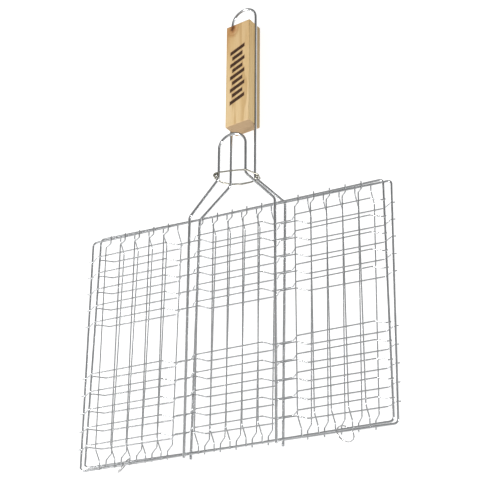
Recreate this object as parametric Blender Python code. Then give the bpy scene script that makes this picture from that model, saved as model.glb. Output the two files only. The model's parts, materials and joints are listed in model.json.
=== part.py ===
"""Two-panel wire grill basket with a wooden handle block.

The basket lies flat as in use: X runs across the panels, +Y from the hinge
end to the hanging loop, +Z up. Lengths are in millimetres until the meshes
are made, which are in metres.
"""
import math

import bmesh
import bpy
from mathutils import Matrix, Vector

MM = 0.001

# panels
PANEL_W = 350.0
PANEL_L = 275.3
FRAME_D = 2.4
FRAME_CORNER_R = 4.5
THIN_D = 1.5
WELD_GAP = 0.3
TIP = 1.5
PANEL_GAP = 0.4

# the upper panel sits a little askew on its two loose rings
UPPER_SHIFT_X = -3.57
UPPER_SHIFT_Y = -1.3
UPPER_ROLL = math.radians(0.985)

# wires that run along the panel
ROD_SIDE_MARGIN = 24.0
ROD_PITCH_SIDE = 18.12
ROD_PITCH_MIDDLE = 17.8
RODS_PER_BAY = 5
ROD_STRAIGHT_END = 6.6
ROD_RAMP = 10.6

# wires that run across the panel
TRAY_DEPTH = 10.5
CROSS_LOW_START = 23.6
CROSS_LOW_PITCH = 20.6
CROSS_HIGH_START = 168.2
CROSS_HIGH_PITCH = 20.3
CROSS_PER_GROUP = 5
FRAME_RAMP = (2.5, 12.5)
HANDLE_RAMP_NEAR = (15.1, 24.4)
HANDLE_RAMP_FAR = (18.3, 27.0)
HANDLE_RAMP_MIDDLE = (4.5, 12.0)

# both panels are the same part, the upper one turned over
LOWER_RAMPS = (HANDLE_RAMP_FAR, HANDLE_RAMP_NEAR)
UPPER_RAMPS = (HANDLE_RAMP_NEAR, HANDLE_RAMP_FAR)

# handle wires
HANDLE_D = 3.3
LEG_X = 51.6
LOOP_X = 16.45
UPPER_FOOT = 4.8
UPPER_LOW_BEND = 279.6
UPPER_HIGH_BEND = 320.9
UPPER_APEX = 376.2
LOWER_FOOT = 6.0
LOWER_LOW_BEND = 276.5
LOWER_HIGH_BEND = 314.5
LOWER_APEX = 552.0
HANDLE_BEND_R = 9.0

# the long loop is turned about its own length and leans slightly
GRIP_TWIST = math.radians(-10.0)
GRIP_LEAN = math.radians(0.8)

# wooden block
WOOD_W = 33.0
WOOD_T = 22.6
WOOD_LIFT = 1.5
WOOD_Y0 = 385.0
WOOD_Y1 = 525.2
WOOD_EDGE_R = 1.2
WOOD_END_BEVEL = 1.2
GROOVE_R = 2.0

# latch ring
LATCH_D = 1.8
LATCH_CURL_R = 2.3
LATCH_CURL_DROP = 2.7
LATCH_CURL_LEFT = (-27.0, 321.5)
LATCH_CURL_RIGHT = (22.9, 309.0)
LATCH_FRONT_Z = 11.6
LATCH_BACK_Z = -8.9
LATCH_ORIGIN = (-5.0, 320.0, 0.0)

# hinge rings
HINGE_Y = -3.8
HINGE_Z = 1.4
RING_WIRE_D = 1.4
RING_MID_R = 9.5
RING_X = {"left": -127.45, "right": 120.3}
RING_TILT = {"left": (0.657, -0.578, -0.484), "right": (0.74, 0.25, 0.625)}

# levels measured outwards from the plane of a panel's frame
FRAME_LEVEL = (FRAME_D + THIN_D) / 2 + WELD_GAP
ROD_LEVEL = TRAY_DEPTH + THIN_D + WELD_GAP
HANDLE_LEVEL = (FRAME_D + HANDLE_D) / 2 + WELD_GAP
UNDER_HANDLE_LEVEL = HANDLE_LEVEL - (HANDLE_D + THIN_D) / 2 - WELD_GAP
UPPER_Z = FRAME_D + PANEL_GAP

HINGE_POINT = Vector((0.0, HINGE_Y, HINGE_Z))


def clear_scene():
    for obj in list(bpy.data.objects):
        bpy.data.objects.remove(obj, do_unlink=True)


def make_material(name, colour, metallic, roughness):
    mat = bpy.data.materials.new(name)
    mat.use_nodes = True
    shader = mat.node_tree.nodes["Principled BSDF"]
    shader.inputs["Base Color"].default_value = (*colour, 1.0)
    shader.inputs["Metallic"].default_value = metallic
    shader.inputs["Roughness"].default_value = roughness
    return mat


def fillet(points, radius, steps, closed=False):
    """Round every corner of a polyline."""
    pts = [Vector(p) for p in points]
    count = len(pts)
    out = []
    for i, corner in enumerate(pts):
        if not closed and i in (0, count - 1):
            out.append(corner)
            continue
        before = pts[i - 1] - corner
        after = pts[(i + 1) % count] - corner
        turn = math.pi - before.angle(after)
        if turn < 0.02:
            out.append(corner)
            continue
        reach = radius * math.tan(turn / 2)
        reach = min(reach, before.length * 0.49, after.length * 0.49)
        start = corner + before.normalized() * reach
        end = corner + after.normalized() * reach
        bend_r = reach / math.tan(turn / 2)
        inward = (before.normalized() + after.normalized()).normalized()
        centre = corner + inward * (bend_r / math.cos(turn / 2))
        arm_a = start - centre
        arm_b = end - centre
        for k in range(steps + 1):
            t = k / steps
            part_a = math.sin((1 - t) * turn) / math.sin(turn)
            part_b = math.sin(t * turn) / math.sin(turn)
            out.append(centre + arm_a * part_a + arm_b * part_b)
    return out


def tangents(path, closed):
    count = len(path)
    out = []
    for i in range(count):
        if closed:
            ahead = path[(i + 1) % count] - path[i]
            behind = path[i] - path[i - 1]
        else:
            ahead = path[min(i + 1, count - 1)] - path[max(i, 0)]
            behind = path[i] - path[i - 1] if i else ahead
            if i == count - 1:
                ahead = behind
        out.append((ahead.normalized() + behind.normalized()).normalized())
    return out


def carry(normal, old, new):
    """Turn a normal with the path's direction, without added twist."""
    turned = old.rotation_difference(new) @ normal
    return (turned - new * turned.dot(new)).normalized()


def sweep(path, radius, sides, closed=False):
    """Solid round wire along a path."""
    dirs = tangents(path, closed)
    normal = dirs[0].orthogonal().normalized()
    normals = [normal]
    for i in range(1, len(path)):
        normal = carry(normal, dirs[i - 1], dirs[i])
        normals.append(normal)
    drift = 0.0
    if closed:
        back = carry(normal, dirs[-1], dirs[0])
        side = dirs[0].cross(normals[0])
        drift = math.atan2(back.dot(side), back.dot(normals[0]))
    bm = bmesh.new()
    rings = []
    for i, centre in enumerate(path):
        side = dirs[i].cross(normals[i])
        ring = []
        for k in range(sides):
            angle = 2 * math.pi * k / sides - drift * i / len(path)
            arm = normals[i] * math.cos(angle) + side * math.sin(angle)
            ring.append(bm.verts.new(centre + arm * radius))
        rings.append(ring)
    last = len(rings) if closed else len(rings) - 1
    for i in range(last):
        ring_a = rings[i]
        ring_b = rings[(i + 1) % len(rings)]
        for k in range(sides):
            n = (k + 1) % sides
            bm.faces.new((ring_a[k], ring_a[n], ring_b[n], ring_b[k]))
    if not closed:
        bm.faces.new(list(reversed(rings[0])))
        bm.faces.new(rings[-1])
    bmesh.ops.recalc_face_normals(bm, faces=bm.faces)
    return bm


def add_object(name, bm, mat, origin=(0.0, 0.0, 0.0), parent=None):
    """Make the object with its origin at a point of the shared frame."""
    origin = Vector(origin)
    for vert in bm.verts:
        vert.co = (vert.co - origin) * MM
    mesh = bpy.data.meshes.new(name)
    bm.to_mesh(mesh)
    bm.free()
    mesh.materials.append(mat)
    for poly in mesh.polygons:
        poly.use_smooth = len(poly.vertices) == 4
    obj = bpy.data.objects.new(name, mesh)
    bpy.context.collection.objects.link(obj)
    if parent:
        obj.parent = parent
    else:
        obj.location = origin * MM
    return obj


def add_pivot(name, point):
    pivot = bpy.data.objects.new(name, None)
    pivot.location = point * MM
    pivot.empty_display_size = 0.02
    bpy.context.collection.objects.link(pivot)
    return pivot


def lower_point(u, v, w):
    """Point of the lower panel, w outwards (down)."""
    return Vector((u, v, -w))


def upper_point(u, v, w):
    """Point of the upper panel, w outwards (up)."""
    c = math.cos(UPPER_ROLL)
    s = math.sin(UPPER_ROLL)
    x = UPPER_SHIFT_X + u * c - v * s
    y = UPPER_SHIFT_Y + u * s + v * c
    return Vector((x, y, UPPER_Z + w))


def grip_point(point):
    """Apply the long loop's turn and lean to a point of the lower panel."""
    middle = Vector((0.0, 0.0, -HANDLE_LEVEL))
    twist = Matrix.Rotation(GRIP_TWIST, 3, "Y")
    turned = twist @ (point - middle) + middle
    foot = Vector((0.0, LOWER_HIGH_BEND, 0.0))
    return Matrix.Rotation(GRIP_LEAN, 3, "Z") @ (turned - foot) + foot


def frame_path(place):
    half = PANEL_W / 2
    corners = [(-half, 0), (half, 0), (half, PANEL_L), (-half, PANEL_L)]
    pts = [place(u, v, 0.0) for u, v in corners]
    return fillet(pts, FRAME_CORNER_R, 5, closed=True)


def rod_positions():
    half = PANEL_W / 2
    side = [ROD_SIDE_MARGIN + ROD_PITCH_SIDE * i for i in range(RODS_PER_BAY)]
    middle = (RODS_PER_BAY - 1) / 2
    left = [m - half for m in side]
    centre = [ROD_PITCH_MIDDLE * (i - middle) for i in range(RODS_PER_BAY)]
    right = [half - m for m in reversed(side)]
    return left + centre + right


def rod_path(place, u):
    reach = FRAME_D / 2 + TIP
    ramp_start = ROD_STRAIGHT_END
    ramp_end = ROD_STRAIGHT_END + ROD_RAMP
    line = [
        (-reach, FRAME_LEVEL),
        (ramp_start, FRAME_LEVEL),
        (ramp_end, ROD_LEVEL),
        (PANEL_L - ramp_end, ROD_LEVEL),
        (PANEL_L - ramp_start, FRAME_LEVEL),
        (PANEL_L + reach, FRAME_LEVEL),
    ]
    return fillet([place(u, v, w) for v, w in line], 2.5, 1)


def cross_positions():
    low = [CROSS_LOW_START + CROSS_LOW_PITCH * i for i in range(CROSS_PER_GROUP)]
    high = [CROSS_HIGH_START + CROSS_HIGH_PITCH * i for i in range(CROSS_PER_GROUP)]
    return low + high


def cross_half(ramp):
    """Half of a cross wire, from the middle of the panel outwards."""
    half = PANEL_W / 2
    tip = half + FRAME_D / 2 + TIP
    return [
        (LEG_X - HANDLE_RAMP_MIDDLE[1], TRAY_DEPTH),
        (LEG_X - HANDLE_RAMP_MIDDLE[0], UNDER_HANDLE_LEVEL),
        (LEG_X + ramp[0], UNDER_HANDLE_LEVEL),
        (LEG_X + ramp[1], TRAY_DEPTH),
        (half - FRAME_RAMP[1], TRAY_DEPTH),
        (half - FRAME_RAMP[0], FRAME_LEVEL),
        (tip, FRAME_LEVEL),
    ]


def cross_path(place, v, ramps):
    left = [(-u, w) for u, w in reversed(cross_half(ramps[0]))]
    line = left + cross_half(ramps[1])
    return fillet([place(u, v, w) for u, w in line], 2.5, 1)


def loop_arc(apex, steps):
    """Half circle that closes a loop at its far end, from left to right."""
    middle = apex - LOOP_X
    out = []
    for k in range(steps + 1):
        angle = math.pi * (1 - k / steps)
        out.append((LOOP_X * math.cos(angle), middle + LOOP_X * math.sin(angle)))
    return out


def handle_path(foot, low_bend, high_bend, apex, place, place_loop):
    left = [place(-LEG_X, -foot, HANDLE_LEVEL), place(-LEG_X, low_bend, HANDLE_LEVEL)]
    right = [place(LEG_X, low_bend, HANDLE_LEVEL), place(LEG_X, -foot, HANDLE_LEVEL)]
    bend_left = place_loop(-LOOP_X, high_bend, HANDLE_LEVEL)
    bend_right = place_loop(LOOP_X, high_bend, HANDLE_LEVEL)
    arc = [place_loop(u, v, HANDLE_LEVEL) for u, v in loop_arc(apex, 12)]
    start = fillet(left + [bend_left, arc[0]], HANDLE_BEND_R, 4)
    end = fillet([arc[-1], bend_right] + right, HANDLE_BEND_R, 4)
    return start[:-1] + arc + end[1:]


def wood_profile():
    """Cross-section with rounded edges, and a groove round each side wire."""
    half_w = WOOD_W / 2
    flat_w = half_w - WOOD_EDGE_R
    flat_t = WOOD_T / 2 - WOOD_EDGE_R
    sunk = LOOP_X - half_w
    spread = math.acos(sunk / GROOVE_R)
    right = []
    for k in range(5):
        angle = math.radians(-90 + 22.5 * k)
        right.append((flat_w + WOOD_EDGE_R * math.cos(angle),
                      WOOD_LIFT - flat_t + WOOD_EDGE_R * math.sin(angle)))
    for k in range(9):
        angle = math.pi + spread - 2 * spread * k / 8
        right.append((LOOP_X + GROOVE_R * math.cos(angle),
                      GROOVE_R * math.sin(angle)))
    for k in range(5):
        angle = math.radians(22.5 * k)
        right.append((flat_w + WOOD_EDGE_R * math.cos(angle),
                      WOOD_LIFT + flat_t + WOOD_EDGE_R * math.sin(angle)))
    return right + [(-x, z) for x, z in reversed(right)]


def build_wood(mat):
    profile = wood_profile()
    shrink_x = 1 - WOOD_END_BEVEL / (WOOD_W / 2)
    shrink_z = 1 - WOOD_END_BEVEL / (WOOD_T / 2)
    sections = [
        (WOOD_Y0, shrink_x, shrink_z),
        (WOOD_Y0 + WOOD_END_BEVEL, 1.0, 1.0),
        (WOOD_Y1 - WOOD_END_BEVEL, 1.0, 1.0),
        (WOOD_Y1, shrink_x, shrink_z),
    ]
    bm = bmesh.new()
    rings = []
    for y, sx, sz in sections:
        ring = []
        for x, z in profile:
            height = WOOD_LIFT + (z - WOOD_LIFT) * sz
            point = Vector((x * sx, y, height - HANDLE_LEVEL))
            ring.append(bm.verts.new(grip_point(point)))
        rings.append(ring)
    count = len(profile)
    for ring_a, ring_b in zip(rings, rings[1:]):
        for k in range(count):
            n = (k + 1) % count
            bm.faces.new((ring_a[k], ring_a[n], ring_b[n], ring_b[k]))
    bm.faces.new(list(reversed(rings[0])))
    bm.faces.new(rings[-1])
    bmesh.ops.recalc_face_normals(bm, faces=bm.faces)
    return add_object("wood_handle", bm, mat)


def curl(centre, start_deg, steps, z_from, z_to):
    """Wire turning clockwise seen from above, moving evenly in height."""
    out = []
    for k in range(steps + 1):
        angle = math.radians(start_deg - 30 * k)
        x = centre[0] + LATCH_CURL_R * math.cos(angle)
        y = centre[1] + LATCH_CURL_R * math.sin(angle)
        out.append(Vector((x, y, z_from + (z_to - z_from) * k / steps)))
    return out


def latch_path():
    """Closed wire round all four legs, with a curl at each end."""
    front = LATCH_FRONT_Z
    low = LATCH_FRONT_Z - LATCH_CURL_DROP
    back = LATCH_BACK_Z
    line = [
        Vector((2.2, 321.4, front)),
        Vector((10.7, 319.8, front)),
        Vector((16.8, 315.8, front)),
    ]
    line += curl(LATCH_CURL_RIGHT, 60, 13, front, low)
    line += [
        Vector((21.5, 313.0, 6.0)),
        Vector((20.0, 316.0, 0.0)),
        Vector((19.8, 316.5, back + 3.0)),
        Vector((17.0, 317.0, back)),
        Vector((7.0, 315.8, back)),
        Vector((-4.0, 315.8, back)),
        Vector((-16.5, 318.4, back)),
        Vector((-27.5, 322.8, back)),
        Vector((-30.3, 324.0, back + 3.0)),
        Vector((-29.6, 320.2, low - 1.4)),
    ]
    line += curl(LATCH_CURL_LEFT, 180, 15, low, front)
    line += [Vector((-21.2, 323.9, front)), Vector((-7.6, 322.7, front))]
    return fillet(line, 2.2, 1, closed=True)


def ring_path(side):
    """Circle of loose wire round both hinge bars."""
    axis = Vector(RING_TILT[side]).normalized()
    across = axis.orthogonal().normalized()
    other = axis.cross(across)
    centre = Vector((RING_X[side], HINGE_Y, HINGE_Z))
    out = []
    for k in range(24):
        angle = 2 * math.pi * k / 24
        arm = across * math.cos(angle) + other * math.sin(angle)
        out.append(centre + arm * RING_MID_R)
    return out


def build_panel(side, place, place_loop, handle, ramps, origin, parent):
    """Frame, handle wire, rods and cross wires of one panel."""
    def add(name, bm, mat):
        add_object(side + "_" + name, bm, mat, origin, parent)

    mats = panel_materials(side)
    frame = sweep(frame_path(place), FRAME_D / 2, 8, closed=True)
    add("frame", frame, mats["frame"])
    path = handle_path(*handle, place, place_loop)
    add("handle", sweep(path, HANDLE_D / 2, 10), mats["handle"])
    for i, u in enumerate(rod_positions(), 1):
        bm = sweep(rod_path(place, u), THIN_D / 2, 6)
        add("rod_%02d" % i, bm, mats["rod"])
    for i, v in enumerate(cross_positions(), 1):
        bm = sweep(cross_path(place, v, ramps), THIN_D / 2, 6)
        add("cross_%02d" % i, bm, mats["cross"])


def panel_materials(side):
    return {
        "frame": make_material(side + "_frame_wire", (0.50, 0.51, 0.52), 1.0, 0.28),
        "handle": make_material(side + "_handle_wire", (0.55, 0.56, 0.57), 1.0, 0.18),
        "rod": make_material(side + "_rod_wire", (0.56, 0.57, 0.58), 1.0, 0.30),
        "cross": make_material(side + "_cross_wire", (0.58, 0.59, 0.60), 1.0, 0.30),
    }


def rest_on_ground():
    """Put the origin at the bottom centre of the whole basket."""
    bpy.context.view_layer.update()
    low = Vector((1e9, 1e9, 1e9))
    high = -low
    meshes = [o for o in bpy.data.objects if o.type == "MESH"]
    for obj in meshes:
        for vert in obj.data.vertices:
            point = obj.matrix_world @ vert.co
            low = Vector(map(min, low, point))
            high = Vector(map(max, high, point))
    shift = Vector(((low.x + high.x) / 2, (low.y + high.y) / 2, low.z))
    for obj in bpy.data.objects:
        if obj.parent is None:
            obj.location -= shift
    bpy.context.view_layer.update()
    return shift


def lower_loop_point(u, v, w):
    return grip_point(lower_point(u, v, w))


def main():
    clear_scene()
    hinge = add_pivot("upper_panel_pivot", HINGE_POINT)
    lower = (LOWER_FOOT, LOWER_LOW_BEND, LOWER_HIGH_BEND, LOWER_APEX)
    upper = (UPPER_FOOT, UPPER_LOW_BEND, UPPER_HIGH_BEND, UPPER_APEX)
    zero = (0.0, 0.0, 0.0)
    build_panel("lower", lower_point, lower_loop_point, lower,
                LOWER_RAMPS, zero, None)
    build_panel("upper", upper_point, upper_point, upper,
                UPPER_RAMPS, HINGE_POINT, hinge)
    build_wood(make_material("wood_handle", (0.80, 0.62, 0.38), 0.0, 0.55))
    latch = sweep(latch_path(), LATCH_D / 2, 8, closed=True)
    latch_mat = make_material("latch_ring", (0.46, 0.45, 0.40), 1.0, 0.32)
    add_object("latch_ring", latch, latch_mat, LATCH_ORIGIN)
    for side in ("left", "right"):
        ring = sweep(ring_path(side), RING_WIRE_D / 2, 6, closed=True)
        name = "hinge_ring_" + side
        mat = make_material(name, (0.60, 0.60, 0.60), 1.0, 0.25)
        add_object(name, ring, mat, (RING_X[side], HINGE_Y, HINGE_Z))
    shift = rest_on_ground()
    print("origin shift (mm):", [round(c / MM, 3) for c in shift])


main()
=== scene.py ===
"""Looks of the two-panel wire grill basket with its wooden handle block.

Lengths are in millimetres in the lower panel's own frame until a mesh is made:
X across the panels, +Y towards the hanging loop, +Z up.
"""
import json
import math

import bmesh
import bpy
import numpy as np
from mathutils import Matrix, Vector, noise


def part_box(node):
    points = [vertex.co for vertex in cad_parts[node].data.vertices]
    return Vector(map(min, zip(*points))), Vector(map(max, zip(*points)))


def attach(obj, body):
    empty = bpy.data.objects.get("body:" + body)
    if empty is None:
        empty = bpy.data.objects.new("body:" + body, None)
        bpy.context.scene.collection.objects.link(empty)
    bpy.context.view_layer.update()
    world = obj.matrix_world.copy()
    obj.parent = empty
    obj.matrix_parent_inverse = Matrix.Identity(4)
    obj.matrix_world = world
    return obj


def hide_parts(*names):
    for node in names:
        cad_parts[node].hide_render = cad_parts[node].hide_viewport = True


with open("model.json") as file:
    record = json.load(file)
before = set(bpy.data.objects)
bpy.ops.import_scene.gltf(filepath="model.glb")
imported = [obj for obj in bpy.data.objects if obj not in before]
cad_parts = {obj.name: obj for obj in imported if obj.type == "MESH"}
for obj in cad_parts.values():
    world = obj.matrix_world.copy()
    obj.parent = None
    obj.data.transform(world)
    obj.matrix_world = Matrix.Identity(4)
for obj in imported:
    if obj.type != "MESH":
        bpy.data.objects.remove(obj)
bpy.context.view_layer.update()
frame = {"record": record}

MM = 0.001

# panels
PANEL_W = 350.0
PANEL_L = 275.3
FRAME_D = 2.4
FRAME_CORNER_R = 4.5
FRAME_CORNER_STEPS = 10
FRAME_SIDES = 16
THIN_D = 1.5
THIN_SHOWN_D = 1.46     # drawn a little thin, to stay inside the solids' box
WELD_GAP = 0.3
TIP = 1.5
PANEL_GAP = 0.4
UPPER_SHIFT_X = -3.57
UPPER_SHIFT_Y = -1.3
UPPER_ROLL = math.radians(0.985)

# wires along and across the panel
ROD_SIDE_MARGIN = 24.0
ROD_PITCH_SIDE = 18.12
ROD_PITCH_MIDDLE = 17.8
RODS_PER_BAY = 5
ROD_STRAIGHT_END = 6.6
ROD_RAMP = 10.6
TRAY_DEPTH = 10.5
CROSS_LOW_START = 23.6
CROSS_LOW_PITCH = 20.6
CROSS_HIGH_START = 168.2
CROSS_HIGH_PITCH = 20.3
CROSS_PER_GROUP = 5
FRAME_RAMP = (2.5, 12.5)
HANDLE_RAMP_NEAR = (15.1, 24.4)
HANDLE_RAMP_FAR = (18.3, 27.0)
HANDLE_RAMP_MIDDLE = (4.5, 12.0)
LOWER_RAMPS = (HANDLE_RAMP_FAR, HANDLE_RAMP_NEAR)
UPPER_RAMPS = (HANDLE_RAMP_NEAR, HANDLE_RAMP_FAR)
THIN_BEND_R = 3.0
THIN_BEND_STEPS = 6
THIN_SIDES = 12

# handle wires, each with its foot, low bend, high bend and apex along the panel
HANDLE_D = 3.3
HANDLE_SIDES = 24
LEG_X = 51.6
LOOP_X = 16.45
LOOP_STEPS = 40
HANDLE_BEND_R = 9.0
HANDLE_BEND_STEPS = 12
LOWER_HIGH_BEND = 314.5
UPPER_HANDLE = (4.8, 279.6, 320.9, 376.2)
LOWER_HANDLE = (6.0, 276.5, LOWER_HIGH_BEND, 552.0)
GRIP_TWIST = math.radians(-10.0)
GRIP_LEAN = math.radians(0.8)

# wooden block
WOOD_W = 33.0
WOOD_T = 22.56
WOOD_LIFT = 1.5
WOOD_Y0 = 385.0
WOOD_Y1 = 525.2
WOOD_EDGE_R = 1.2
WOOD_END_R = 1.2
GROOVE_R = 2.0

# the block's mesh: points round its outline and distance between sections
WOOD_EDGE_STEPS = 6
WOOD_LOW_SIDE_STEPS = 10
GROOVE_STEPS = 14
WOOD_HIGH_SIDE_STEPS = 16
WOOD_TOP_STEPS = 76
WOOD_UNDER_STEPS = 20
WOOD_END_STEPS = 5
WOOD_STEP = 0.6
WOOD_SHARP_DEG = 50.0

# wear of the block, as depths taken off its surface
WEAR_LEAST = 0.03
WAVE_DEPTH = 0.10
WAVE_SCALE = (0.09, 0.03, 0.09)
RIPPLE_DEPTH = 0.05
RIPPLE_SCALE = (0.5, 0.06, 0.5)
DENTS = (                # x, distance from the near end, radius, depth
    (9.0, 20.0, 1.6, 0.30),
    (-12.0, 70.0, 1.2, 0.25),
    (13.0, 118.0, 1.4, 0.25),
)
DENT_STRETCH = 0.6

# row of seared bars on the block's top face, measured from its near end
BAR_START = 30.0
BAR_PITCH = 8.6
BAR_COUNT = 9
BAR_W = 5.2
BAR_SLANT = 0.35
BAR_REACH = 10.0
SHORT_BAR = 0.72
BAR_CENTRE_X = -0.5
BAR_SHOULDER = 0.5
BAR_SINK = 0.25

# knot near the block's far end
KNOT_X = -7.5
KNOT_Y = 136.5
KNOT_STRETCH = 0.55
KNOT_PULL = 5.0
KNOT_PULL_R = 11.0

# growth rings round a pith below the block, which drifts along its length
PITH_X = -3.0
PITH_DEPTH = 19.0
PITH_DRIFT_X = 14.0
PITH_DRIFT_Z = 6.0
GROWTH_PITCH = 2.9

# scales of the pine's noises, across, along and through the block
DRIFT_SCALE = (0.05, 0.006, 0.05)
WOBBLE_SCALE = (0.30, 0.02, 0.30)
FIBRE_SCALE = (2.2, 0.05, 2.2)
PORE_SCALE = (6.0, 0.25, 6.0)
CLOUD_SCALE = (0.06, 0.02, 0.06)
CHAR_SCALE = (0.5, 0.25, 0.5)

# scales of the wires' noises, along the wire and across it
PLATING_SCALE = (0.05, 0.5, 0.5)
LINE_SCALE = (0.03, 5.0, 5.0)
GRAIN_SCALE = (3.0, 4.0, 4.0)

# relief of the surfaces, in metres
GRAIN_RELIEF = 0.00002
LINE_RELIEF = 0.00004
WELD_RELIEF = 0.0001
PORE_RELIEF = 0.00006
FIBRE_RELIEF = 0.00018

# weld nuggets, with a radius for each kind of crossing
WELD_HALF_T = 0.6
WELD_MESH_R = 0.85
WELD_FRAME_R = 0.95
WELD_LEG_R = 1.1
WELD_LEG_FRAME_R = 1.5
WELD_LUMP = 0.18
WELD_LUMP_SCALE = 1.4
WELD_LUMP_SHIFT = 7.3

# latch ring
LATCH_D = 1.8
LATCH_SIDES = 16
LATCH_BEND_R = 2.2
LATCH_BEND_STEPS = 5
LATCH_CURL_R = 2.3
LATCH_CURL_STEP = 10
LATCH_CURL_DROP = 2.7
LATCH_CURL_LEFT = (-27.0, 321.5)
LATCH_CURL_RIGHT = (22.9, 309.0)
LATCH_FRONT_Z = 11.6
LATCH_BACK_Z = -8.9

# hinge rings
HINGE_Y = -3.8
HINGE_Z = 1.4
RING_WIRE_D = 1.4
RING_MID_R = 9.42
RING_SIDES = 14
RING_STEPS = 72
RING_BUTT_GAP = math.radians(1.4)
RING_X = {"left": -127.45, "right": 120.3}
RING_TILT = {"left": (0.657, -0.578, -0.484), "right": (0.74, 0.25, 0.625)}

# every wire's path and mesh
SMALLEST_TURN = 0.02
FILLET_SHARE = 0.49
LONGEST_STRETCH = 12.0
CHAMFER_SHARE = 0.22

# levels measured outwards from the plane of a panel's frame
FRAME_LEVEL = (FRAME_D + THIN_D) / 2 + WELD_GAP
ROD_LEVEL = TRAY_DEPTH + THIN_D + WELD_GAP
HANDLE_LEVEL = (FRAME_D + HANDLE_D) / 2 + WELD_GAP
UNDER_HANDLE_LEVEL = HANDLE_LEVEL - (HANDLE_D + THIN_D) / 2 - WELD_GAP
UPPER_Z = FRAME_D + PANEL_GAP

# plating of each wire: bright and dull tone, and roughness
WIRE_LOOKS = {
    "frame_wire": ((0.60, 0.61, 0.62), (0.46, 0.47, 0.48), 0.20),
    "handle_wire": ((0.78, 0.79, 0.80), (0.62, 0.63, 0.64), 0.08),
    "rod_wire": ((0.62, 0.63, 0.64), (0.48, 0.49, 0.50), 0.20),
    "cross_wire": ((0.64, 0.65, 0.66), (0.50, 0.51, 0.52), 0.20),
    "latch_wire": ((0.36, 0.345, 0.29), (0.24, 0.23, 0.19), 0.24),
    "ring_wire": ((0.66, 0.66, 0.66), (0.50, 0.50, 0.50), 0.18),
}
WELD_DULL = (0.40, 0.39, 0.38)
WELD_BRIGHT = (0.58, 0.58, 0.58)

# pine colours
PINE_PALE = (0.64, 0.48, 0.27)
PINE_WARM = (0.58, 0.41, 0.20)
PINE_LATE = (0.45, 0.29, 0.12)
PINE_FIBRE = (0.46, 0.29, 0.13)
PINE_LIGHT = (0.74, 0.58, 0.36)
# painted shade: the sides tinted olive and darkened
PINE_FLANK_PAINTED_SHADE = (0.42, 0.31, 0.14)
# painted shade, darker still low down on the sides
PINE_LOW_PAINTED_SHADE = (0.28, 0.20, 0.10)
PINE_END = (0.36, 0.24, 0.14)
KNOT_ZONE = (0.38, 0.16, 0.05)
KNOT_CORE = (0.10, 0.04, 0.015)
SEAR_HALO = (0.30, 0.16, 0.07)
SEAR_BROWN = (0.050, 0.018, 0.008)
SEAR_DARK = (0.020, 0.008, 0.004)

# tint of the block's far end, and how weakly the bare wood reflects
FAR_TINT = (0.80, 0.66, 0.48)
WOOD_SPECULAR = 0.25

# camera, with its place and lens in millimetres and its clipping in metres
CAMERA_AT = (634.2, -575.7, 1359.1)
CAMERA_RIGHT = (0.9107, 0.0211, -0.4125)
CAMERA_UP = (0.1802, 0.8784, 0.4426)
CAMERA_LENS = 117.45
CAMERA_SENSOR = 36.0
CAMERA_CLIP = (0.05, 50.0)

# floor and lights, in metres and watts
FLOOR_HALF = 6.0
FLOOR_GREY = 0.35
FLOOR_ROUGH = 0.9
FLOOR_GLOW = 0.78
LIGHTS = {               # place, side of the square, power
    "key": ((-1.5, -0.6, 1.18), 0.8, 43.0),
    "fill": ((1.8, -0.35, 1.0), 0.4, 26.0),
}

# the studio's brightness falls from near to far, as (Y, strength)
STUDIO_NEAR = (0.41, 0.56)
STUDIO_FAR = (0.50, 0.22)

# dark part of the studio: its direction, and (cosine, share of light) at its rim
# and at its middle
DARK_SIDE = (0.52, -0.36, 0.78)
DARK_RIM = (0.82, 1.0)
DARK_MIDDLE = (0.95, 0.12)

record = frame["record"]
body_of = {n: b for b, nodes in record["behaviour"]["bodies"].items() for n in nodes}
slot_of = {s["node"]: s["material_slot"] for s in record["subparts"]}

low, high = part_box("lower_frame")
SHIFT = (low + high) / 2 - Vector((0.0, PANEL_L / 2, 0.0)) * MM


# ---------------------------------------------------------------- paths

def fillet(points, radius, steps, closed=False):
    """Round every corner of a polyline."""
    pts = [Vector(p) for p in points]
    count = len(pts)
    out = []
    for i, corner in enumerate(pts):
        if not closed and i in (0, count - 1):
            out.append(corner)
            continue
        before = pts[i - 1] - corner
        after = pts[(i + 1) % count] - corner
        turn = math.pi - before.angle(after)
        if turn < SMALLEST_TURN:
            out.append(corner)
            continue
        reach = radius * math.tan(turn / 2)
        reach = min(reach, before.length * FILLET_SHARE, after.length * FILLET_SHARE)
        start = corner + before.normalized() * reach
        end = corner + after.normalized() * reach
        bend_r = reach / math.tan(turn / 2)
        inward = (before.normalized() + after.normalized()).normalized()
        centre = corner + inward * (bend_r / math.cos(turn / 2))
        arm_a = start - centre
        arm_b = end - centre
        for k in range(steps + 1):
            t = k / steps
            part_a = math.sin((1 - t) * turn) / math.sin(turn)
            part_b = math.sin(t * turn) / math.sin(turn)
            out.append(centre + arm_a * part_a + arm_b * part_b)
    return out


def lower_point(u, v, w):
    """Point of the lower panel, w outwards (down)."""
    return Vector((u, v, -w))


def upper_point(u, v, w):
    """Point of the upper panel, w outwards (up)."""
    c = math.cos(UPPER_ROLL)
    s = math.sin(UPPER_ROLL)
    x = UPPER_SHIFT_X + u * c - v * s
    y = UPPER_SHIFT_Y + u * s + v * c
    return Vector((x, y, UPPER_Z + w))


def grip_matrix():
    """The long loop's turn about its length and its slight lean."""
    middle = Matrix.Translation((0.0, 0.0, -HANDLE_LEVEL))
    foot = Matrix.Translation((0.0, LOWER_HIGH_BEND, 0.0))
    twist = middle @ Matrix.Rotation(GRIP_TWIST, 4, "Y") @ middle.inverted()
    lean = foot @ Matrix.Rotation(GRIP_LEAN, 4, "Z") @ foot.inverted()
    return lean @ twist


GRIP = grip_matrix()


def lower_loop_point(u, v, w):
    """Point of the lower panel's long loop, which is twisted and leans."""
    return GRIP @ lower_point(u, v, w)


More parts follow.
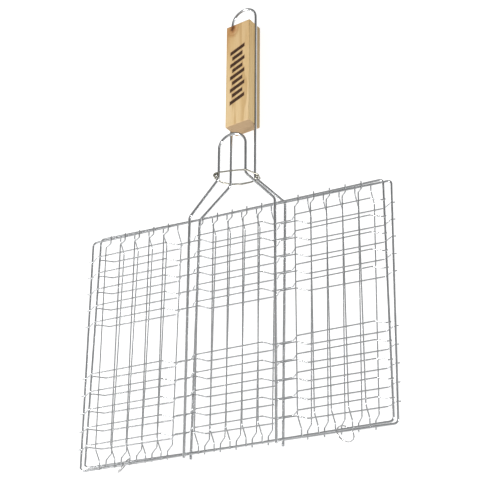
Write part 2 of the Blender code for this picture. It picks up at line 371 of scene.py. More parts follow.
def frame_path(place):
    half = PANEL_W / 2
    corners = [(-half, 0), (half, 0), (half, PANEL_L), (-half, PANEL_L)]
    pts = [place(u, v, 0.0) for u, v in corners]
    return fillet(pts, FRAME_CORNER_R, FRAME_CORNER_STEPS, closed=True)


def rod_positions():
    half = PANEL_W / 2
    side = [ROD_SIDE_MARGIN + ROD_PITCH_SIDE * i for i in range(RODS_PER_BAY)]
    middle = (RODS_PER_BAY - 1) / 2
    left = [m - half for m in side]
    centre = [ROD_PITCH_MIDDLE * (i - middle) for i in range(RODS_PER_BAY)]
    right = [half - m for m in reversed(side)]
    return left + centre + right


def rod_path(place, u):
    reach = FRAME_D / 2 + TIP
    ramp_start = ROD_STRAIGHT_END
    ramp_end = ROD_STRAIGHT_END + ROD_RAMP
    line = [
        (-reach, FRAME_LEVEL),
        (ramp_start, FRAME_LEVEL),
        (ramp_end, ROD_LEVEL),
        (PANEL_L - ramp_end, ROD_LEVEL),
        (PANEL_L - ramp_start, FRAME_LEVEL),
        (PANEL_L + reach, FRAME_LEVEL),
    ]
    return fillet([place(u, v, w) for v, w in line], THIN_BEND_R, THIN_BEND_STEPS)


def cross_positions():
    lows = [CROSS_LOW_START + CROSS_LOW_PITCH * i for i in range(CROSS_PER_GROUP)]
    highs = [CROSS_HIGH_START + CROSS_HIGH_PITCH * i for i in range(CROSS_PER_GROUP)]
    return lows + highs


def cross_half(ramp):
    """Half of a cross wire, from the middle of the panel outwards."""
    half = PANEL_W / 2
    tip = half + FRAME_D / 2 + TIP
    return [
        (LEG_X - HANDLE_RAMP_MIDDLE[1], TRAY_DEPTH),
        (LEG_X - HANDLE_RAMP_MIDDLE[0], UNDER_HANDLE_LEVEL),
        (LEG_X + ramp[0], UNDER_HANDLE_LEVEL),
        (LEG_X + ramp[1], TRAY_DEPTH),
        (half - FRAME_RAMP[1], TRAY_DEPTH),
        (half - FRAME_RAMP[0], FRAME_LEVEL),
        (tip, FRAME_LEVEL),
    ]


def cross_path(place, v, ramps):
    left = [(-u, w) for u, w in reversed(cross_half(ramps[0]))]
    line = left + cross_half(ramps[1])
    return fillet([place(u, v, w) for u, w in line], THIN_BEND_R, THIN_BEND_STEPS)


def loop_arc(apex):
    """Half circle that closes a loop at its far end, from left to right."""
    middle = apex - LOOP_X
    out = []
    for k in range(LOOP_STEPS + 1):
        angle = math.pi * (1 - k / LOOP_STEPS)
        out.append((LOOP_X * math.cos(angle), middle + LOOP_X * math.sin(angle)))
    return out


def handle_path(spec, place, place_loop):
    foot, low_bend, high_bend, apex = spec
    left = [place(-LEG_X, -foot, HANDLE_LEVEL), place(-LEG_X, low_bend, HANDLE_LEVEL)]
    right = [place(LEG_X, low_bend, HANDLE_LEVEL), place(LEG_X, -foot, HANDLE_LEVEL)]
    bend_left = place_loop(-LOOP_X, high_bend, HANDLE_LEVEL)
    bend_right = place_loop(LOOP_X, high_bend, HANDLE_LEVEL)
    arc = [place_loop(u, v, HANDLE_LEVEL) for u, v in loop_arc(apex)]
    start = fillet(left + [bend_left, arc[0]], HANDLE_BEND_R, HANDLE_BEND_STEPS)
    end = fillet([arc[-1], bend_right] + right, HANDLE_BEND_R, HANDLE_BEND_STEPS)
    return start[:-1] + arc + end[1:]


def curl(centre, start_deg, turn_deg, z_from, z_to):
    """Wire turning clockwise seen from above, moving evenly in height."""
    steps = turn_deg // LATCH_CURL_STEP
    out = []
    for k in range(steps + 1):
        angle = math.radians(start_deg - LATCH_CURL_STEP * k)
        x = centre[0] + LATCH_CURL_R * math.cos(angle)
        y = centre[1] + LATCH_CURL_R * math.sin(angle)
        out.append(Vector((x, y, z_from + (z_to - z_from) * k / steps)))
    return out


def latch_path():
    """Closed wire round all four legs, with a curl at each end."""
    front = LATCH_FRONT_Z
    under = LATCH_FRONT_Z - LATCH_CURL_DROP
    back = LATCH_BACK_Z
    line = [
        Vector((2.2, 321.4, front)),
        Vector((10.7, 319.8, front)),
        Vector((16.8, 315.8, front)),
    ]
    line += curl(LATCH_CURL_RIGHT, 60, 390, front, under)
    line += [
        Vector((21.5, 313.0, 6.0)),
        Vector((20.0, 316.0, 0.0)),
        Vector((19.8, 316.5, back + 3.0)),
        Vector((17.0, 317.0, back)),
        Vector((7.0, 315.8, back)),
        Vector((-4.0, 315.8, back)),
        Vector((-16.5, 318.4, back)),
        Vector((-27.5, 322.8, back)),
        Vector((-30.3, 324.0, back + 3.0)),
        Vector((-29.6, 320.2, under - 1.4)),
    ]
    line += curl(LATCH_CURL_LEFT, 180, 450, under, front)
    line += [Vector((-21.2, 323.9, front)), Vector((-7.6, 322.7, front))]
    return fillet(line, LATCH_BEND_R, LATCH_BEND_STEPS, closed=True)


def ring_path(side):
    """Circle of loose wire round both hinge bars, with its two ends butting."""
    axis = Vector(RING_TILT[side]).normalized()
    across = axis.orthogonal().normalized()
    other = axis.cross(across)
    centre = Vector((RING_X[side], HINGE_Y, HINGE_Z))
    out = []
    for k in range(RING_STEPS + 1):
        angle = RING_BUTT_GAP / 2 + (2 * math.pi - RING_BUTT_GAP) * k / RING_STEPS
        arm = across * math.cos(angle) + other * math.sin(angle)
        out.append(centre + arm * RING_MID_R)
    return out


# ---------------------------------------------------------------- meshes

def tangents(path, closed):
    """Direction of the wire at each point of its path."""
    count = len(path)
    out = []
    for i in range(count):
        if closed:
            ahead = path[(i + 1) % count] - path[i]
            behind = path[i] - path[i - 1]
        else:
            ahead = path[min(i + 1, count - 1)] - path[i]
            behind = path[i] - path[i - 1] if i else ahead
            if i == count - 1:
                ahead = behind
        out.append((ahead.normalized() + behind.normalized()).normalized())
    return out


def carry(normal, old, new):
    """Turn a normal with its wire, from one direction to the next."""
    turned = old.rotation_difference(new) @ normal
    return (turned - new * turned.dot(new)).normalized()


def split_long(path, closed):
    """Add points so that no straight stretch is longer than the limit."""
    out = []
    count = len(path)
    for i in range(count if closed else count - 1):
        a = path[i]
        b = path[(i + 1) % count]
        parts = max(1, math.ceil((b - a).length / LONGEST_STRETCH))
        out += [a.lerp(b, k / parts) for k in range(parts)]
    if not closed:
        out.append(path[-1])
    return out


def skin(rows, sides, closed=False):
    """Faces between rows of points, capped at both ends unless closed."""
    faces = []
    for i in range(rows if closed else rows - 1):
        a = i * sides
        b = (i + 1) % rows * sides
        for k in range(sides):
            n = (k + 1) % sides
            faces.append((a + k, a + n, b + n, b + k))
    if not closed:
        faces.append(tuple(reversed(range(sides))))
        faces.append(tuple(range((rows - 1) * sides, rows * sides)))
    return faces


def chamfered(path, radius):
    """Path and radii of an open wire, narrower at its two cut ends."""
    chamfer = radius * CHAMFER_SHARE
    start = (path[1] - path[0]).normalized()
    end = (path[-2] - path[-1]).normalized()
    inner = [path[0] + start * chamfer] + path[1:-1] + [path[-1] + end * chamfer]
    radii = [radius - chamfer] + [radius] * len(inner) + [radius - chamfer]
    return [path[0]] + inner + [path[-1]], radii


def carried_normals(dirs, closed):
    """Normals without twist, and how far they have turned round a closed wire."""
    normals = [dirs[0].orthogonal().normalized()]
    for i in range(1, len(dirs)):
        normals.append(carry(normals[-1], dirs[i - 1], dirs[i]))
    if not closed:
        return normals, 0.0
    back = carry(normals[-1], dirs[-1], dirs[0])
    side = dirs[0].cross(normals[0])
    return normals, math.atan2(back.dot(side), back.dot(normals[0]))


def tube(path, radius, sides, closed=False):
    """Round wire with chamfered cut ends and coordinates along its length."""
    path = split_long(path, closed)
    radii = [radius] * len(path)
    if not closed:
        path, radii = chamfered(path, radius)
    dirs = tangents(path, closed)
    normals, drift = carried_normals(dirs, closed)
    verts = []
    wire = []
    along = 0.0
    for i, centre in enumerate(path):
        if i:
            along += (centre - path[i - 1]).length
        side = dirs[i].cross(normals[i])
        for k in range(sides):
            turn = 2 * math.pi * k / sides
            angle = turn - drift * i / len(path)
            arm = normals[i] * math.cos(angle) + side * math.sin(angle)
            verts.append(centre + arm * radii[i])
            wire.append((along, radii[i] * math.cos(turn), radii[i] * math.sin(turn)))
    return verts, skin(len(path), sides, closed), wire


def add_piece(name, verts, faces, coords, mat, sharp_deg=35.0):
    """Mesh object in the shared frame, with its own texture coordinates."""
    mesh = bpy.data.meshes.new(name)
    mesh.from_pydata([Vector(v) * MM + SHIFT for v in verts], [], faces)
    grid = mesh.attributes.new("coords", "FLOAT_VECTOR", "POINT")
    grid.data.foreach_set("vector", np.array(coords, np.float32).ravel())
    mesh.materials.append(mat)
    mesh.shade_smooth()
    mesh.set_sharp_from_angle(angle=math.radians(sharp_deg))
    obj = bpy.data.objects.new(name, mesh)
    bpy.context.scene.collection.objects.link(obj)
    return obj


def stand_for(obj, node):
    """Put a piece in place of a CAD node: hide the node and attach the piece to the node's
    body.
    """
    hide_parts(node)
    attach(obj, body_of[node])


def add_wire(node, path, diameter, sides, closed=False):
    verts, faces, wire = tube(path, diameter / 2, sides, closed)
    obj = add_piece(node + "_wire", verts, faces, wire, wires[slot_of[node]])
    stand_for(obj, node)


# ---------------------------------------------------------------- materials

class Graph:
    """Short calls for building a material's nodes."""

    def __init__(self, name):
        self.mat = bpy.data.materials.new(name)
        self.mat.use_nodes = True
        self.tree = self.mat.node_tree
        self.shader = self.tree.nodes["Principled BSDF"]

    def node(self, kind, **settings):
        made = self.tree.nodes.new("ShaderNode" + kind)
        for key, value in settings.items():
            setattr(made, key, value)
        return made

    def put(self, value, socket):
        if isinstance(value, bpy.types.NodeSocket):
            self.tree.links.new(value, socket)
        else:
            socket.default_value = value

    def math(self, operation, a, b=0.0, c=0.0, clamp=False):
        made = self.node("Math", operation=operation, use_clamp=clamp)
        self.put(a, made.inputs[0])
        self.put(b, made.inputs[1])
        self.put(c, made.inputs[2])
        return made.outputs[0]

    def length(self, a, b):
        """Distance from the origin of the point (a, b)."""
        squares = self.math("ADD", self.math("MULTIPLY", a, a), self.math("MULTIPLY", b, b))
        return self.math("SQRT", squares)

    def coords(self):
        return self.node("Attribute", attribute_name="coords").outputs["Vector"]

    def scaled(self, vector, scale):
        made = self.node("VectorMath", operation="MULTIPLY")
        self.put(vector, made.inputs[0])
        self.put(scale, made.inputs[1])
        return made.outputs[0]

    def noise(self, vector, scale=1.0, detail=2.0, roughness=0.5):
        made = self.node("TexNoise")
        self.put(vector, made.inputs["Vector"])
        self.put(scale, made.inputs["Scale"])
        self.put(detail, made.inputs["Detail"])
        self.put(roughness, made.inputs["Roughness"])
        return made.outputs[0]

    def ramp(self, value, low_in, high_in, low_out=0.0, high_out=1.0):
        made = self.node("MapRange", clamp=True, interpolation_type="SMOOTHSTEP")
        self.put(value, made.inputs["Value"])
        self.put(low_in, made.inputs["From Min"])
        self.put(high_in, made.inputs["From Max"])
        self.put(low_out, made.inputs["To Min"])
        self.put(high_out, made.inputs["To Max"])
        return made.outputs["Result"]

    def mix(self, share, a, b, blend="MIX"):
        made = self.node("Mix", data_type="RGBA", blend_type=blend)
        self.put(share, made.inputs[0])
        for value, socket in ((a, made.inputs[6]), (b, made.inputs[7])):
            if isinstance(value, tuple):
                value = (*value, 1.0)
            self.put(value, socket)
        return made.outputs[2]

    def bump(self, height, distance, strength, under=None):
        """Relief of a height map, its distance in metres."""
        made = self.node("Bump")
        self.put(height, made.inputs["Height"])
        self.put(distance, made.inputs["Distance"])
        self.put(strength, made.inputs["Strength"])
        if under is not None:
            self.put(under, made.inputs["Normal"])
        return made.outputs[0]


def wire_material(name, bright, dull, rough):
    """Plated drawn wire: faint lines along it, cloudy plating, fine grain."""
    g = Graph(name)
    at = g.coords()
    clouds = g.noise(g.scaled(at, PLATING_SCALE), detail=3.0, roughness=0.6)
    lines = g.noise(g.scaled(at, LINE_SCALE), detail=2.0)
    grain = g.noise(g.scaled(at, GRAIN_SCALE), detail=3.0, roughness=0.7)
    tone = g.ramp(clouds, 0.32, 0.68)
    colour = g.mix(tone, dull, bright)
    streak = g.ramp(lines, 0.35, 0.7, 0.82, 1.0)
    shade = g.node("CombineColor")
    for socket in shade.inputs[:3]:
        g.put(streak, socket)
    colour = g.mix(1.0, colour, shade.outputs[0], "MULTIPLY")
    g.put(colour, g.shader.inputs["Base Color"])
    g.put(1.0, g.shader.inputs["Metallic"])
    base = g.ramp(clouds, 0.3, 0.7, rough + 0.1, rough)
    spread = g.math("MULTIPLY_ADD", grain, 0.12, -0.06)
    g.put(g.math("ADD", base, spread, clamp=True), g.shader.inputs["Roughness"])
    fine = g.bump(grain, GRAIN_RELIEF, 0.5)
    g.put(g.bump(lines, LINE_RELIEF, 0.5, fine), g.shader.inputs["Normal"])
    return g.mat


def weld_material(side):
    """Duller, grainy metal of the welds."""
    g = Graph(side + "_weld")
    at = g.coords()
    grain = g.noise(at, scale=2.5, detail=3.0, roughness=0.7)
    colour = g.mix(g.ramp(grain, 0.35, 0.65), WELD_DULL, WELD_BRIGHT)
    g.put(colour, g.shader.inputs["Base Color"])
    g.put(1.0, g.shader.inputs["Metallic"])
    g.put(g.ramp(grain, 0.3, 0.7, 0.30, 0.48), g.shader.inputs["Roughness"])
    g.put(g.bump(grain, WELD_RELIEF, 0.5), g.shader.inputs["Normal"])
    return g.mat


def knot_distance(g, x, y):
    """Distance from the knot, which is drawn out along the block."""
    side = g.math("SUBTRACT", x, KNOT_X)
    along = g.math("MULTIPLY", g.math("SUBTRACT", y, KNOT_Y), KNOT_STRETCH)
    return g.length(side, along)


def growth_rings(g, at, x, z, knot_r):
    """Share of late wood, in rings that bend round the knot."""
    drift = g.noise(g.scaled(at, DRIFT_SCALE), detail=1.0)
    wobble = g.noise(g.scaled(at, WOBBLE_SCALE))
    side = g.math("ADD", x, g.math("MULTIPLY_ADD", drift, PITH_DRIFT_X, PITH_X))
    depth = g.math("ADD", z, g.math("MULTIPLY_ADD", drift, PITH_DRIFT_Z, PITH_DEPTH))
    pull = g.ramp(knot_r, 0.0, KNOT_PULL_R, KNOT_PULL, 0.0)
    away = g.math("ADD", g.length(side, depth), pull)
    away = g.math("ADD", away, g.math("MULTIPLY_ADD", wobble, 1.0, -0.5))
    phase = g.math("FRACT", g.math("DIVIDE", away, GROWTH_PITCH))
    darkening = g.ramp(phase, 0.30, 0.90)
    return g.math("MULTIPLY", darkening, g.ramp(phase, 0.92, 1.0, 1.0, 0.0))


def pine_tones(g, at, late, fibre):
    """Colour of the clean wood, with its rings and fibres."""
    cloud = g.noise(g.scaled(at, CLOUD_SCALE))
    colour = g.mix(g.ramp(cloud, 0.3, 0.7), PINE_PALE, PINE_WARM)
    colour = g.mix(g.math("MULTIPLY", late, 0.72), colour, PINE_LATE)
    colour = g.mix(g.ramp(fibre, 0.45, 0.80, 0.0, 0.45), colour, PINE_FIBRE)
    return g.mix(g.ramp(fibre, 0.25, 0.45, 0.35, 0.0), colour, PINE_LIGHT)


def with_knot(g, colour, at, x, y, knot_r):
    """Add the knot, its orange zone and a stain beside it on the left edge."""
    blot = g.noise(at, scale=0.35, detail=3.0, roughness=0.6)
    ragged_r = g.math("ADD", knot_r, g.math("MULTIPLY_ADD", blot, 5.0, -2.5))
    stain = g.math("MULTIPLY", g.ramp(x, -16.0, -9.0, 0.45, 0.0), g.ramp(y, 85.0, 125.0))
    colour = g.mix(stain, colour, KNOT_ZONE)
    colour = g.mix(g.ramp(ragged_r, 1.5, 10.0, 0.85, 0.0), colour, KNOT_ZONE)
    return g.mix(g.ramp(ragged_r, 0.8, 4.4, 0.94, 0.0), colour, KNOT_CORE)


def with_painted_side_shade_and_ends(g, colour, x, y, z):
    """Painted shade on the sides, tinted olive and darkened, darker still low down; and the
    ends darker.
    """
    painted_flank_shade = g.ramp(g.math("ABSOLUTE", x), WOOD_W / 2 - 1.0, WOOD_W / 2 - 0.3)
    # painted shade: the sides tinted olive and darkened
    colour = g.mix(g.math("MULTIPLY", painted_flank_shade, 0.55), colour, PINE_FLANK_PAINTED_SHADE)
    # painted shade: the sides darker still low down
    low_painted_shade = g.ramp(z, 0.0, -2.5, 0.0, 0.75)
    colour = g.mix(g.math("MULTIPLY", painted_flank_shade, low_painted_shade), colour, PINE_LOW_PAINTED_SHADE)
    length = WOOD_Y1 - WOOD_Y0
    end_near = g.ramp(y, 1.0, 0.2)
    end_far = g.ramp(y, length - 1.0, length - 0.2)
    ends = g.math("ADD", end_near, end_far, clamp=True)
    return g.mix(g.math("MULTIPLY", ends, 0.75), colour, PINE_END)


def bar_inside(g, at, x, along, index):
    """Depth inside the outline of the nearest bar, with a ragged edge."""
    turn = g.math("SUBTRACT", g.math("DIVIDE", along, BAR_PITCH), index)
    off = g.math("ABSOLUTE", g.math("SUBTRACT", turn, 0.5))
    across_bar = g.math("MULTIPLY_ADD", off, -BAR_PITCH, BAR_W / 2)
    odd = g.math("MODULO", index, 2.0)
    reach = g.math("MULTIPLY_ADD", odd, (SHORT_BAR - 1) * BAR_REACH, BAR_REACH)
    from_mid = g.math("ABSOLUTE", g.math("SUBTRACT", x, BAR_CENTRE_X))
    inside = g.math("MINIMUM", across_bar, g.math("SUBTRACT", reach, from_mid))
    ragged = g.math("MULTIPLY_ADD", g.noise(at, scale=1.1, detail=3.0), 0.8, -0.4)
    return g.math("ADD", inside, ragged)


def seared_bars(g, at, x, y, z):
    """Shares of char and of the halo round it, on the top face only."""
    along = g.math("MULTIPLY_ADD", x, -BAR_SLANT, g.math("SUBTRACT", y, BAR_START))
    index = g.math("FLOOR", g.math("DIVIDE", along, BAR_PITCH))
    inside = bar_inside(g, at, x, along, index)
    counted = g.math("MULTIPLY", g.math("GREATER_THAN", index, -0.5),
                     g.math("LESS_THAN", index, BAR_COUNT - 0.5))
    top = WOOD_LIFT + WOOD_T / 2
    counted = g.math("MULTIPLY", counted, g.ramp(z, top - 1.3, top - 0.9))
    char = g.math("MULTIPLY", g.ramp(inside, -0.15, 0.45), counted)
    halo = g.math("MULTIPLY", g.ramp(inside, -1.3, 0.2, 0.0, 0.45), counted)
    return char, halo


def wood_material():
    """Sanded pine: growth rings round an offset pith, a knot, seared bars."""
    g = Graph("pine")
    at = g.coords()
    split = g.node("SeparateXYZ")
    g.put(at, split.inputs[0])
    x, y, z = split.outputs
    knot_r = knot_distance(g, x, y)
    late = growth_rings(g, at, x, z, knot_r)
    fibre = g.noise(g.scaled(at, FIBRE_SCALE), detail=3.0, roughness=0.65)
    pores = g.noise(g.scaled(at, PORE_SCALE), roughness=0.6)
    char, halo = seared_bars(g, at, x, y, z)

    colour = pine_tones(g, at, late, fibre)
    colour = with_knot(g, colour, at, x, y, knot_r)
    colour = with_painted_side_shade_and_ends(g, colour, x, y, z)
    colour = g.mix(halo, colour, SEAR_HALO)
    patchy = g.noise(g.scaled(at, CHAR_SCALE), detail=3.0, roughness=0.6)
    burnt = g.mix(g.ramp(patchy, 0.35, 0.7), SEAR_DARK, SEAR_BROWN)
    cover = g.math("MULTIPLY", char, g.ramp(fibre, 0.3, 0.75, 1.0, 0.92))
    colour = g.mix(cover, colour, burnt)

    # the far end is a little warmer and darker
    far = g.ramp(y, 60.0, 135.0, 0.0, 0.35)
    colour = g.mix(far, colour, FAR_TINT, "MULTIPLY")
    g.put(colour, g.shader.inputs["Base Color"])
    g.put(WOOD_SPECULAR, g.shader.inputs["Specular IOR Level"])
    rough = g.ramp(fibre, 0.3, 0.7, 0.50, 0.66)
    g.put(g.math("MULTIPLY_ADD", char, 0.18, rough), g.shader.inputs["Roughness"])
    height = g.math("ADD", g.math("MULTIPLY", fibre, 0.6), g.math("MULTIPLY", late, 0.25))
    first = g.bump(pores, PORE_RELIEF, 0.4)
    g.put(g.bump(height, FIBRE_RELIEF, 0.5, first), g.shader.inputs["Normal"])
    return g.mat


# ---------------------------------------------------------------- the basket

wires = {slot: wire_material(slot, *look) for slot, look in WIRE_LOOKS.items()}


def build_panel(side, place, place_loop, spec, ramps):
    """Frame, handle wire, rods, cross wires and welds of one panel."""
    add_wire(side + "_frame", frame_path(place), FRAME_D, FRAME_SIDES, closed=True)
    path = handle_path(spec, place, place_loop)
    add_wire(side + "_handle", path, HANDLE_D, HANDLE_SIDES)
    for i, u in enumerate(rod_positions(), 1):
        add_wire(f"{side}_rod_{i:02d}", rod_path(place, u), THIN_SHOWN_D, THIN_SIDES)
    for i, v in enumerate(cross_positions(), 1):
        path = cross_path(place, v, ramps)
        add_wire(f"{side}_cross_{i:02d}", path, THIN_SHOWN_D, THIN_SIDES)
    add_welds(side, place)


def weld_spots():
    """Crossing points of a panel's wires, with the nugget's radius."""
    half = PANEL_W / 2
    rods = rod_positions()
    crosses = cross_positions()
    legs = (-LEG_X, LEG_X)
    bars = (0.0, PANEL_L)
    touch = FRAME_D / 2 + WELD_GAP / 2
    tray = TRAY_DEPTH + (THIN_D + WELD_GAP) / 2
    spots = [(u, v, tray, WELD_MESH_R) for u in rods for v in crosses]
    spots += [(u, v, touch, WELD_FRAME_R) for u in rods for v in bars]
    spots += [(u, v, touch, WELD_FRAME_R) for u in (-half, half) for v in crosses]
    spots += [(u, v, touch, WELD_LEG_R) for u in legs for v in crosses]
    spots += [(u, v, touch, WELD_LEG_FRAME_R) for u in legs for v in bars]
    return spots


def add_welds(side, place):
    """Small flattened nuggets that join the crossing wires of a panel."""
    ball = bmesh.new()
    bmesh.ops.create_icosphere(ball, subdivisions=2, radius=1.0)
    shape = [v.co.copy() for v in ball.verts]
    ball_faces = [tuple(v.index for v in f.verts) for f in ball.faces]
    ball.free()
    verts = []
    faces = []
    for i, (u, v, w, radius) in enumerate(weld_spots()):
        base = len(verts)
        for p in shape:
            spot = p * WELD_LUMP_SCALE + Vector((i * WELD_LUMP_SHIFT, 0.0, 0.0))
            lump = 1 + WELD_LUMP * noise.noise(spot)
            verts.append(place(u + p.x * radius * lump, v + p.y * radius * lump,
                               w + p.z * WELD_HALF_T))
        faces += [tuple(base + k for k in face) for face in ball_faces]
    obj = add_piece(side + "_welds", verts, faces, verts, weld_material(side))
    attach(obj, side + "_panel")


# ---------------------------------------------------------------- the block

def bar_depth(x, y):
    """How far into a seared bar a point of the top face lies, 0 to 1."""
    along = y - BAR_START - x * BAR_SLANT
    index = math.floor(along / BAR_PITCH)
    if not 0 <= index < BAR_COUNT:
        return 0.0
    reach = BAR_REACH * (1.0 if index % 2 == 0 else SHORT_BAR)
    from_middle = abs(along - (index + 0.5) * BAR_PITCH)
    inside = min(BAR_W / 2 - from_middle, reach - abs(x - BAR_CENTRE_X))
    return min(1.0, max(0.0, inside / BAR_SHOULDER))


def line_of(a, b, parts):
    """Points from a to b, without b."""
    return [(a[0] + (b[0] - a[0]) * k / parts, a[1] + (b[1] - a[1]) * k / parts)
            for k in range(parts)]


def arc_of(cx, cz, radius, start_deg, end_deg, parts):
    """Points of an arc, without its last one."""
    out = []
    for k in range(parts):
        angle = math.radians(start_deg + (end_deg - start_deg) * k / parts)
        out.append((cx + radius * math.cos(angle), cz + radius * math.sin(angle)))
    return out


def wood_profile():
    """Cross-section, up the right side, over the top and down the left."""
    half_w = WOOD_W / 2
    flat_w = half_w - WOOD_EDGE_R
    under = WOOD_LIFT - WOOD_T / 2
    top = WOOD_LIFT + WOOD_T / 2
    spread = math.degrees(math.acos((LOOP_X - half_w) / GROOVE_R))
    lip = GROOVE_R * math.sin(math.radians(spread))
    right = arc_of(flat_w, under + WOOD_EDGE_R, WOOD_EDGE_R, -90, 0, WOOD_EDGE_STEPS)
    right += line_of((half_w, under + WOOD_EDGE_R), (half_w, -lip), WOOD_LOW_SIDE_STEPS)
    right += arc_of(LOOP_X, 0.0, GROOVE_R, 180 + spread, 180 - spread, GROOVE_STEPS)
    right += line_of((half_w, lip), (half_w, top - WOOD_EDGE_R), WOOD_HIGH_SIDE_STEPS)
    right += arc_of(flat_w, top - WOOD_EDGE_R, WOOD_EDGE_R, 0, 90, WOOD_EDGE_STEPS)
    left = [(-x, z) for x, z in reversed(right)]
    over = line_of((flat_w, top), (-flat_w, top), WOOD_TOP_STEPS)
    below = line_of((-flat_w, under), (flat_w, under), WOOD_UNDER_STEPS)
    return right + over + left + below


def wood_sections():
    """Stations along the block with the amount each is drawn in."""
    ends = []
    for k in range(1, WOOD_END_STEPS + 1):
        angle = math.radians(90 * k / WOOD_END_STEPS)
        ends.append((WOOD_END_R * (1 - math.sin(angle)), WOOD_END_R * (1 - math.cos(angle))))
    length = WOOD_Y1 - WOOD_Y0
    near = [(d, inset) for d, inset in reversed(ends)]
    steps = round((length - 2 * WOOD_END_R) / WOOD_STEP)
    middle = [(WOOD_END_R + (length - 2 * WOOD_END_R) * k / steps, 0.0)
              for k in range(steps + 1)]
    far = [(length - d, inset) for d, inset in ends]
    return near + middle + far


def wave(x, y, z, scale):
    """Smooth unevenness of the surface, 0 to 1."""
    spot = Vector((x * scale[0], y * scale[1], z * scale[2]))
    return 0.5 + 0.5 * noise.noise(spot)


def worn(x, y, z):
    """Point of the cross-section moved inwards by waves, dents and bars."""
    inward = WEAR_LEAST + WAVE_DEPTH * wave(x, y, z, WAVE_SCALE)
    inward += RIPPLE_DEPTH * wave(x, y, z, RIPPLE_SCALE)
    if z > WOOD_LIFT + WOOD_T / 2 - 0.01:
        inward += BAR_SINK * bar_depth(x, y)
        for dent_x, dent_y, size, depth in DENTS:
            away = math.hypot(x - dent_x, (y - dent_y) * DENT_STRETCH) / size
            inward += depth * max(0.0, 1 - away * away) ** 2
    if abs(x) < WOOD_W / 2 - WOOD_EDGE_R:
        return x, z - math.copysign(inward, z - WOOD_LIFT)
    from_middle = math.hypot(x / WOOD_W, (z - WOOD_LIFT) / WOOD_T)
    return x - math.copysign(inward, x) * min(1.0, abs(x) / WOOD_W / from_middle), z


def add_wood():
    """The block, built section by section in the turned frame of the long loop."""
    profile = wood_profile()
    verts = []
    local = []
    sections = wood_sections()
    for y, inset in sections:
        sx = 1 - inset / (WOOD_W / 2)
        sz = 1 - inset / (WOOD_T / 2)
        for px, pz in profile:
            x, z = worn(px, y, pz)
            x *= sx
            z = WOOD_LIFT + (z - WOOD_LIFT) * sz
            verts.append(GRIP @ Vector((x, WOOD_Y0 + y, z - HANDLE_LEVEL)))
            local.append((x, y, z))
    faces = skin(len(sections), len(profile))
    mat = wood_material()
    obj = add_piece("wood_handle_block", verts, faces, local, mat, WOOD_SHARP_DEG)
    stand_for(obj, "wood_handle")


build_panel("lower", lower_point, lower_loop_point, LOWER_HANDLE, LOWER_RAMPS)
build_panel("upper", upper_point, upper_point, UPPER_HANDLE, UPPER_RAMPS)
add_wood()
add_wire("latch_ring", latch_path(), LATCH_D, LATCH_SIDES, closed=True)
for ring_side in ("left", "right"):
    add_wire("hinge_ring_" + ring_side, ring_path(ring_side), RING_WIRE_D, RING_SIDES)


# ---------------------------------------------------------------- studio

def add_floor():
    """Wide pale floor that glows a little, so that shadows stay soft."""
    g = Graph("floor")
    g.put((FLOOR_GREY, FLOOR_GREY, FLOOR_GREY, 1.0), g.shader.inputs["Base Color"])
    g.put(FLOOR_ROUGH, g.shader.inputs["Roughness"])
    g.put((1.0, 1.0, 1.0, 1.0), g.shader.inputs["Emission Color"])
    g.put(FLOOR_GLOW, g.shader.inputs["Emission Strength"])
    mesh = bpy.data.meshes.new("floor")
    s = FLOOR_HALF
    mesh.from_pydata([(-s, -s, 0), (s, -s, 0), (s, s, 0), (-s, s, 0)], [], [(0, 1, 2, 3)])
    mesh.materials.append(g.mat)
    obj = bpy.data.objects.new("floor", mesh)
    bpy.context.scene.collection.objects.link(obj)


def add_light(name, place, side, watts):
    """Square area light that faces the origin."""
    data = bpy.data.lights.new(name, "AREA")
    data.shape = "RECTANGLE"
    data.size = data.size_y = side
    data.energy = watts
    obj = bpy.data.objects.new(name, data)
    bpy.context.scene.collection.objects.link(obj)
    turn = (-Vector(place)).to_track_quat("-Z", "Y").to_matrix().to_4x4()
    obj.matrix_world = Matrix.Translation(place) @ turn


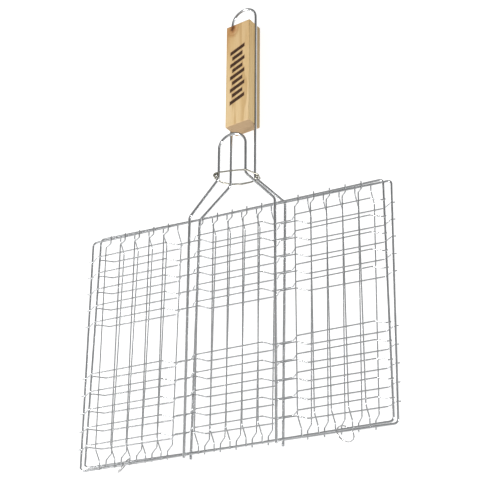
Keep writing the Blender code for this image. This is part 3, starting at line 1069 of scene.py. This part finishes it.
def add_camera():
    right = Vector(CAMERA_RIGHT).normalized()
    back = right.cross(Vector(CAMERA_UP)).normalized()
    up = back.cross(right)
    data = bpy.data.cameras.new("camera")
    data.lens = CAMERA_LENS
    data.sensor_width = CAMERA_SENSOR
    data.clip_start, data.clip_end = CAMERA_CLIP
    obj = bpy.data.objects.new("camera", data)
    turn = Matrix((right, up, back)).transposed().to_4x4()
    obj.matrix_world = Matrix.Translation(Vector(CAMERA_AT) * MM + SHIFT) @ turn
    bpy.context.scene.collection.objects.link(obj)
    bpy.context.scene.camera = obj


def studio_range(tree, value, start, end, interpolation="LINEAR"):
    """Strength that goes from one (input, output) pair to another."""
    made = tree.nodes.new("ShaderNodeMapRange")
    made.interpolation_type = interpolation
    tree.links.new(value, made.inputs["Value"])
    made.inputs["From Min"].default_value, made.inputs["To Min"].default_value = start
    made.inputs["From Max"].default_value, made.inputs["To Max"].default_value = end
    return made.outputs["Result"]


def add_world():
    """White studio, dimmer on the far side, with one dark part."""
    world = bpy.data.worlds.new("studio")
    bpy.context.scene.world = world
    world.use_nodes = True
    tree = world.node_tree
    background = tree.nodes["Background"]
    where = tree.nodes.new("ShaderNodeTexCoord").outputs["Generated"]
    split = tree.nodes.new("ShaderNodeSeparateXYZ")
    tree.links.new(where, split.inputs[0])
    fade = studio_range(tree, split.outputs["Y"], STUDIO_NEAR, STUDIO_FAR)
    aim = tree.nodes.new("ShaderNodeVectorMath")
    aim.operation = "DOT_PRODUCT"
    tree.links.new(where, aim.inputs[0])
    aim.inputs[1].default_value = Vector(DARK_SIDE).normalized()
    dark = studio_range(tree, aim.outputs["Value"], DARK_RIM, DARK_MIDDLE, "SMOOTHSTEP")
    both = tree.nodes.new("ShaderNodeMath")
    both.operation = "MULTIPLY"
    tree.links.new(fade, both.inputs[0])
    tree.links.new(dark, both.inputs[1])
    tree.links.new(both.outputs[0], background.inputs["Strength"])
    background.inputs["Color"].default_value = (1.0, 1.0, 1.0, 1.0)


bpy.context.scene.view_settings.view_transform = "Standard"
add_floor()
add_world()
for light_name, (light_place, light_side, light_watts) in LIGHTS.items():
    add_light(light_name, light_place, light_side, light_watts)
add_camera()
